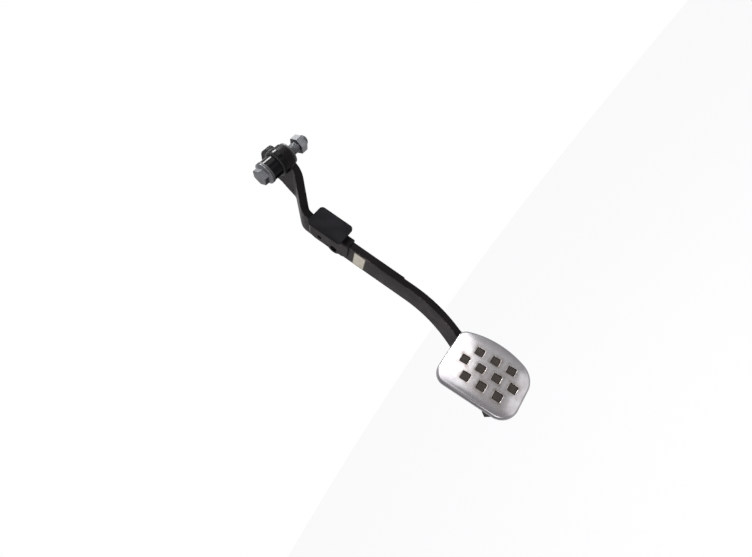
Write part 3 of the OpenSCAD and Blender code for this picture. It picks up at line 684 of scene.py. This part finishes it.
def crown(point):
    """Height of the cover's face over a point of its plane, 0 at the middle."""
    u, v = point.x / (PAD_L / 2 - RIM_ROLL), point.y / (PAD_W / 2 - RIM_ROLL)
    return -CROWN_DROP * (1 - (1 - min(1, u * u)) * (1 - min(1, v * v)))


def face_height(point):
    """The crown's height, less the fall near the outline, where the press draws the sheet over."""
    near = min((point - spot).length for spot in face_outline)
    return crown(point) - SHOULDER_FALL * max(0.0, 1 - near / SHOULDER_W) ** 2


def hole_ring(middle, grow):
    """Outline of one square hole, let out by grow."""
    side, r = HOLE_W / 2 + grow, HOLE_R + grow
    ring = []
    for k, (sx, sy) in enumerate(((1, 1), (-1, 1), (-1, -1), (1, -1))):
        ring += bend(middle + Vector((sx, sy)) * (side - r), r, 90 * k, 90 * k + 90, 5)
    return ring


def from_hole(point, hole):
    """How far a point lies from the middle of a hole, measured square to its sides."""
    return max(abs(point.x - hole.x), abs(point.y - hole.y))


def inside(point, ring):
    """True if a point lies within a closed ring."""
    odd = False
    for i, here in enumerate(ring):
        after = ring[i - 1]
        if (here.y > point.y) != (after.y > point.y):
            if point.x < (after.x - here.x) * (point.y - here.y) / (after.y - here.y) + here.x:
                odd = not odd
    return odd


def pierced_face(work):
    """The crowned face with its ten holes, as one fine sheet. Returns the points it is made of."""
    flat, heights, edges = [], [], []
    rings = [(cover_outline(RIM_ROLL + inset), 0.0) for inset in FACE_ROWS]
    rings += [(hole_ring(hole, grow), lower) for hole in holes for grow, lower in HOLE_LIPS]
    for ring, lower in rings:
        first = len(flat)
        flat.extend(ring)
        heights.extend(face_height(spot) - lower for spot in ring)
        edges.extend((first + i, first + (i + 1) % len(ring)) for i in range(len(ring)))
    limit = cover_outline(RIM_ROLL + ROLL_GAP)
    for i in range(-19, 20):
        for j in range(-15, 16):
            spot = Vector((i * SPOT_PITCH + (SPOT_PITCH / 2 if j % 2 else 0), j * SPOT_ROW))
            clear = all(from_hole(spot, hole) > HOLE_W / 2 + HOLE_GAP for hole in holes)
            if clear and inside(spot, limit):
                flat.append(spot)
                heights.append(face_height(spot))
    points, _, faces, origin, _, _ = delaunay_2d_cdt(flat, edges, [], 0, 1e-6)
    verts = []
    for k, point in enumerate(points):
        height = heights[origin[k][0]] if origin[k] else face_height(point)
        verts.append(work.verts.new((point.x, point.y, height)))
    openings = [(hole, hole_ring(hole, 0.0)) for hole in holes]
    for face in faces:
        a, b, c = (points[k] for k in face)
        middle = (a + b + c) / 3
        sliver = abs((b - a).cross(c - a)) < THIN_FACE
        opened = any(from_hole(middle, hole) < HOLE_W / 2 and inside(middle, ring)
                     for hole, ring in openings)
        if not sliver and not opened:
            work.faces.new([verts[k] for k in face])
    return verts


def rolled_rim(work, verts):
    """The roll and the rim, from the face's outline outwards and down."""
    lookup = {(round(v.co.x, 4), round(v.co.y, 4)): v for v in verts}
    upper = [lookup[(round(p.x, 4), round(p.y, 4))] for p in face_outline]
    stages = [(RIM_ROLL - (RIM_ROLL - TUCK) * math.sin(turn), RIM_ROLL * (1 - math.cos(turn)))
              for turn in map(math.radians, ROLL_ANGLES)]
    stages += [(TUCK, RIM_ROLL + UNDER_ROLL), (TUCK, RIM_DEPTH - CROWN_DROP)]
    for inset, sunk in stages:
        lower = []
        for spot, top in zip(cover_outline(inset), face_outline):
            rise = (face_height(top) + CROWN_DROP) * max(0.0, 1 - sunk / RIM_ROLL)
            lower.append(work.verts.new((spot.x, spot.y, rise - CROWN_DROP - sunk)))
        for i in range(len(lower)):
            j = (i + 1) % len(lower)
            work.faces.new((upper[i], lower[i], lower[j], upper[j]))
        upper = lower


def mark_dirt_and_shade(work):
    """Red marks the dirt round the holes, green the painted shade on the margin and the roll, wide
    along the pad's sides.
    """
    shade = work.verts.layers.float_color.new("grime")
    rim_outline = cover_outline(0.0)
    roll_top = -CROWN_DROP - SHOULDER_FALL
    for vert in work.verts:
        near = min(from_hole(vert.co, hole) - HOLE_W / 2 for hole in holes)
        away, k = min(((vert.co.xy - spot).length, k) for k, spot in enumerate(face_outline))
        out = (rim_outline[k] - face_outline[k]).normalized()
        side = out.y ** 2 * (LEFT_SHADE_GAIN if out.y < 0 else 1.0)
        # Green is painted shade: in a margin inside the face's outline, and down the roll and the
        # rim
        if vert.co.z > roll_top - 0.01:
            margin = END_SHADE_WIDTH + (SIDE_SHADE_WIDTH - END_SHADE_WIDTH) * side
            dull = 0.5 * side * max(0.0, 1 - away / margin) ** 1.5
        else:
            sunk = min(1.0, (roll_top - vert.co.z) / RIM_ROLL)
            dull = 0.5 * side + (0.3 + 0.2 * side) * sunk ** 2
        vert[shade] = (max(0.0, 1 - max(near, 0) / DIRT_REACH), dull, 0.0, 1.0)


def pressed_cover(name):
    """The cover as one fine sheet, face, roll and rim, given its thickness inwards."""
    work = bmesh.new()
    rolled_rim(work, pierced_face(work))
    mark_dirt_and_shade(work)
    bmesh.ops.recalc_face_normals(work, faces=work.faces)
    if sum(face.normal.z * face.calc_area() for face in work.faces) < 0:
        bmesh.ops.reverse_faces(work, faces=work.faces)
    for face in work.faces:
        face.smooth = True
    work.transform(Matrix.Scale(MM, 4) @ on_pad)
    piece = new_piece(name, work)
    wall = piece.modifiers.new("sheet", "SOLIDIFY")
    wall.thickness = SHEET * MM
    wall.offset = -1
    wall.use_quality_normals = True
    return piece


def satin_aluminium():
    """Pressed aluminium, satin and uncoated: pale grey metal, clouded, scratched down the pad."""
    finish, tree, shader = new_finish("aluminium sheet, pressed and satin", 0.36, metallic=1.0)
    place = add_node(tree, "ShaderNodeTexCoord").outputs["Object"]
    flat = add_node(tree, "ShaderNodeMapping",
                    {"vector_type": "TEXTURE", "Rotation": on_pad.to_euler()},
                    {"Vector": place}).outputs["Vector"]
    cloud = add_node(tree, "ShaderNodeTexNoise",
                     {"Scale": per_mm(HAZE), "Detail": 5.0, "Roughness": 0.6}, {"Vector": flat})
    tint = add_node(tree, "ShaderNodeMapRange", {"From Min": 0.35, "From Max": 0.68},
                    {"Value": cloud.outputs["Fac"]})
    metal = add_node(tree, "ShaderNodeMix",
                     {"data_type": "RGBA", 6: linear("#a2a0a3"), 7: linear("#908c8e")},
                     {0: tint.outputs["Result"]})
    # The margin and the rim are painted dark grey as painted shade, wide along the pad's sides
    marks = add_node(tree, "ShaderNodeAttribute", {"attribute_name": "grime"})
    split = add_node(tree, "ShaderNodeSeparateColor", {}, {"Color": marks.outputs["Color"]})
    painted_margin_shade = add_node(tree, "ShaderNodeMapRange",
                        {"From Min": 0.1, "From Max": 0.85, "To Max": 0.9},
                        {"Value": split.outputs["Green"]})
    margin_shaded = add_node(tree, "ShaderNodeMix", {"data_type": "RGBA", 7: linear("#5a585c")},
                     {0: painted_margin_shade.outputs["Result"], 6: metal.outputs[2]})
    # Brown dirt is caught in spots round the holes
    spots = add_node(tree, "ShaderNodeTexNoise",
                     {"Scale": per_mm(DIRT_SPOT), "Detail": 6.0, "Roughness": 0.7},
                     {"Vector": flat})
    spot_mask = add_node(tree, "ShaderNodeMapRange",
                         {"From Min": 0.42, "From Max": 0.66, "To Min": 0.3, "To Max": 0.9},
                         {"Value": spots.outputs["Fac"]})
    dirt = add_node(tree, "ShaderNodeMath", {"operation": "MULTIPLY"},
                    {0: split.outputs["Red"], 1: spot_mask.outputs["Result"]})
    soiled = add_node(tree, "ShaderNodeMix", {"data_type": "RGBA", 7: linear("#5c5148")},
                      {0: dirt.outputs["Value"], 6: margin_shaded.outputs[2]})
    tree.links.new(soiled.outputs[2], shader.inputs["Base Color"])
    # Scuffs run mostly down the pad, so the pattern is stretched along it
    stretch = add_node(tree, "ShaderNodeMapping",
                       {"Scale": (SCUFF_APART / SCUFF_LENGTH, 1.0, 1.0)}, {"Vector": flat})
    scuff = add_node(tree, "ShaderNodeTexNoise",
                     {"Scale": per_mm(SCUFF_APART), "Detail": 3.0, "Roughness": 0.6},
                     {"Vector": stretch.outputs["Vector"]})
    blend = add_node(tree, "ShaderNodeMix", {"data_type": "FLOAT", 0: 0.35},
                     {2: cloud.outputs["Fac"], 3: scuff.outputs["Fac"]})
    rough = add_node(tree, "ShaderNodeMapRange",
                     {"From Min": 0.3, "From Max": 0.7, "To Min": 0.17, "To Max": 0.26},
                     {"Value": blend.outputs[0]})
    tree.links.new(rough.outputs["Result"], shader.inputs["Roughness"])
    skin = add_node(tree, "ShaderNodeBump", {"Strength": 0.35, "Distance": 0.02 * MM},
                    {"Height": scuff.outputs["Fac"]})
    tree.links.new(skin.outputs["Normal"], shader.inputs["Normal"])
    return finish


place_piece(pressed_cover("alloy_cover.piece"), satin_aluminium(),
            "pedal", "cover_alloy", "alloy_cover")

# Studio. A pale matt floor under the hanging pedal, a plain white surround, and soft lamps
# that give the hub its streaks and the pad its fall-off. These sizes are in metres.
# PLAIN_SHARE of the floor shows as plain white, and the rest of it takes light and shadow
FLOOR_DROP, FLOOR_R, PLAIN_SHARE = 0.9, 6.0, 0.86
pad_spot, hub_spot = on_pad.translation * MM, Vector((0, -0.018, 0))


def seen_plainly(tree):
    """1 on the rays of the camera, of gloss and of transmission, and 0 on those that light."""
    path = add_node(tree, "ShaderNodeLightPath")
    seen = add_node(tree, "ShaderNodeMath", {"operation": "MAXIMUM"},
                    {0: path.outputs["Is Camera Ray"], 1: path.outputs["Is Glossy Ray"]})
    shown = add_node(tree, "ShaderNodeMath", {"operation": "MAXIMUM"},
                     {0: seen.outputs["Value"], 1: path.outputs["Is Transmission Ray"]})
    return shown.outputs["Value"]


def pale_floor():
    """A round sheet of pale matt board, larger than the view, that keeps the pedal's shadow."""
    board, tree, shader = new_finish("pale matt board", 0.9, ior=1.45)
    shader.inputs["Base Color"].default_value = linear("#f4f4f6")
    shader.inputs["Specular IOR Level"].default_value = 0.1
    share = add_node(tree, "ShaderNodeMath", {"operation": "MULTIPLY", 1: PLAIN_SHARE},
                     {0: seen_plainly(tree)})
    pale = add_node(tree, "ShaderNodeEmission", {"Color": linear("#ffffff"), "Strength": 1.0})
    mixed = add_node(tree, "ShaderNodeMixShader", {},
                     {0: share.outputs["Value"], 1: shader.outputs["BSDF"],
                      2: pale.outputs["Emission"]})
    tree.links.new(mixed.outputs["Shader"], tree.nodes["Material Output"].inputs["Surface"])
    work = bmesh.new()
    bmesh.ops.create_circle(work, cap_ends=True, radius=FLOOR_R, segments=96,
                            matrix=Matrix.Translation((0, 0, -FLOOR_DROP)))
    floor = new_piece("floor", work)
    floor.data.materials.append(board)


def soft_lamp(name, spot, toward, distance, size, power):
    """An area lamp out along toward from a spot on the pedal, facing it."""
    lamp = bpy.data.lights.new(name, "AREA")
    lamp.shape = "RECTANGLE"
    lamp.size, lamp.size_y = size
    lamp.energy = power
    stand = bpy.data.objects.new(name, lamp)
    stand.location = spot + Vector(toward).normalized() * distance
    stand.rotation_euler = (spot - stand.location).to_track_quat("-Z", "Y").to_euler()
    bpy.context.scene.collection.objects.link(stand)


pale_floor()
# The key whitens the pad's upper left, the strip draws a streak along the hub, and the two
# low ones lift the pad's rim and the faces that look down
soft_lamp("key", pad_spot, (0.764, 0.309, 0.566), distance=0.9, size=(1.1, 0.4), power=4.6)
soft_lamp("strip", hub_spot, (0.40, 0.43, 0.81), distance=0.9, size=(0.14, 0.25), power=7.0)
soft_lamp("low front", pad_spot, (0.72, -0.69, -0.03), distance=0.85, size=(0.38, 0.34), power=2.4)
soft_lamp("low fill", pad_spot, (0.883, 0.321, -0.342), distance=0.9, size=(0.5, 0.55), power=0.9)

world = bpy.data.worlds.new("surround")
bpy.context.scene.world = world
world.use_nodes = True
sky = world.node_tree
sky.nodes.clear()
fill = add_node(sky, "ShaderNodeBackground", {"Color": linear("#f6f7ff"), "Strength": 0.78})
white = add_node(sky, "ShaderNodeBackground", {"Color": linear("#ffffff"), "Strength": 1.0})
surround = add_node(sky, "ShaderNodeMixShader", {},
                    {0: seen_plainly(sky), 1: fill.outputs["Background"],
                     2: white.outputs["Background"]})
add_node(sky, "ShaderNodeOutputWorld", {}, {"Surface": surround.outputs["Shader"]})
